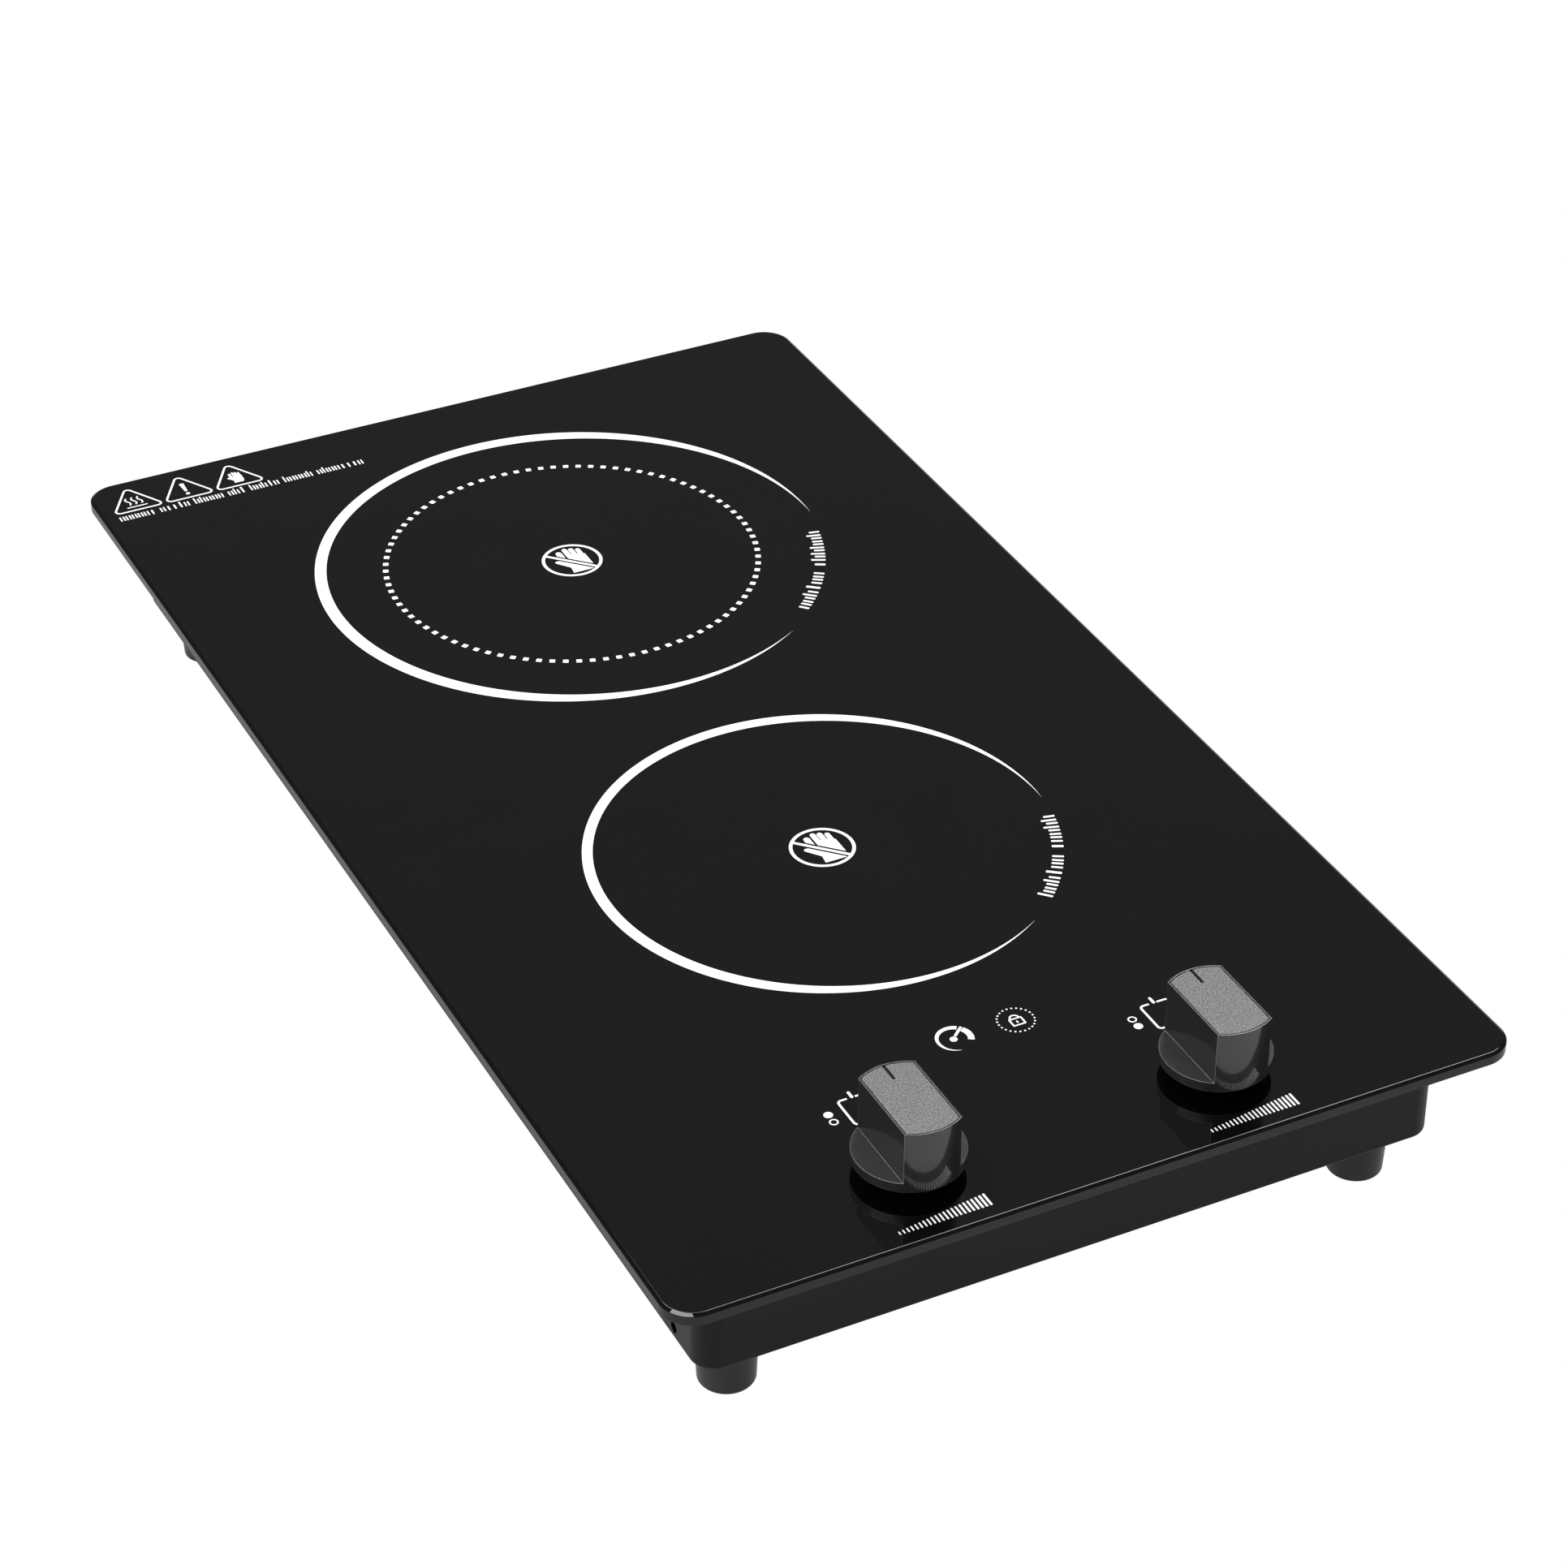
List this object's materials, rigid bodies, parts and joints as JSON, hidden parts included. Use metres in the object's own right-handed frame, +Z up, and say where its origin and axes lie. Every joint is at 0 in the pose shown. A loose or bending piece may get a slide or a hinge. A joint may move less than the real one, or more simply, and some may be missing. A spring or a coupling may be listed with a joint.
{
  "type": "cooktop",
  "caption": "Portable radiant cooktop: black ceramic glass plate with two ringed cooking zones and grip knobs, on a shallow black steel casing with round feet.",
  "frame": {"origin": "on the table, under the middle of the glass plate", "axes": "+X to the right, +Y away from the cook along the plate, +Z up"},
  "size_m": [0.29, 0.52, 0.0894],
  "materials": {
    "ceramic_glass": "polished black glass-ceramic, opaque",
    "casing_paint": "satin black powder coat",
    "foot_plastic": "smooth dark grey moulding",
    "knob_plastic": "satin dark grey moulding",
    "knob_metal": "grained silver grey",
    "black_plastic": "black moulding",
    "silicone": "matt black silicone",
    "zinc_steel": "bright zinc plate",
    "spring_steel": "blued spring steel",
    "shaft_steel": "ground bar",
    "insulation": "pressed fibre board, matt",
    "heating_alloy": "oxidised resistance ribbon",
    "steatite": "unglazed white",
    "quartz": "clear quartz tube",
    "phenolic": "dark brown phenolic",
    "brass": "turned",
    "circuit_board": "green solder mask",
    "relay_plastic": "blue moulding",
    "lamp_red": "red lens",
    "wire_jacket": "brown silicone jacket"
  },
  "bodies": {
    "base": {"board_carrier": "black_plastic", "casing_tray": "casing_paint", "control_board": "circuit_board", "control_bracket": "zinc_steel", "cord_gland": "black_plastic", "foot_front_left": "foot_plastic", "foot_front_right": "foot_plastic", "foot_rear_left": "foot_plastic", "foot_rear_right": "foot_plastic", "foot_screw_front_left": "zinc_steel", "foot_screw_front_right": "zinc_steel", "foot_screw_rear_left": "zinc_steel", "foot_screw_rear_right": "zinc_steel", "front_coil": "heating_alloy", "front_heater_pan": "zinc_steel", "front_insulation_base": "insulation", "front_insulation_ring": "insulation", "front_limiter_head": "steatite", "front_limiter_rod": "quartz", "front_zone_front_rail": "zinc_steel", "front_zone_front_spring": "spring_steel", "front_zone_rear_rail": "zinc_steel", "front_zone_rear_spring": "spring_steel", "glass_plate": "ceramic_glass", "glass_seal": "silicone", "indicator_lamp": "lamp_red", "left_regulator": "phenolic", "left_regulator_nut": "brass", "left_relay": "relay_plastic", "left_shaft_seal": "silicone", "rear_divider_ring": "insulation", "rear_heater_pan": "zinc_steel", "rear_inner_coil": "heating_alloy", "rear_insulation_base": "insulation", "rear_insulation_ring": "insulation", "rear_limiter_head": "steatite", "rear_limiter_rod": "quartz", "rear_outer_coil": "heating_alloy", "rear_zone_front_rail": "zinc_steel", "rear_zone_front_spring": "spring_steel", "rear_zone_rear_rail": "zinc_steel", "rear_zone_rear_spring": "spring_steel", "right_regulator": "phenolic", "right_regulator_nut": "brass", "right_relay": "relay_plastic", "right_shaft_seal": "silicone", "terminal_block": "steatite", "top_frame": "casing_paint", "touch_spring": "spring_steel", "wire_to_left_regulator": "wire_jacket", "wire_to_right_regulator": "wire_jacket"},
    "left_knob": {"left_knob_body": "knob_plastic", "left_knob_insert": "knob_metal", "left_knob_clip": "spring_steel", "left_shaft": "shaft_steel"},
    "right_knob": {"right_knob_body": "knob_plastic", "right_knob_insert": "knob_metal", "right_knob_clip": "spring_steel", "right_shaft": "shaft_steel"}
  },
  "joints": [
    {"name": "left_knob_turn", "type": "hinge", "parent": "base", "child": "left_knob", "pos_m": [-0.0524, -0.2275, 0.0675], "axis": [0, 0, 1], "range_deg": [-290, 0]},
    {"name": "right_knob_turn", "type": "hinge", "parent": "base", "child": "right_knob", "pos_m": [0.0541, -0.2275, 0.0675], "axis": [0, 0, 1], "range_deg": [-290, 0]}
  ]
}
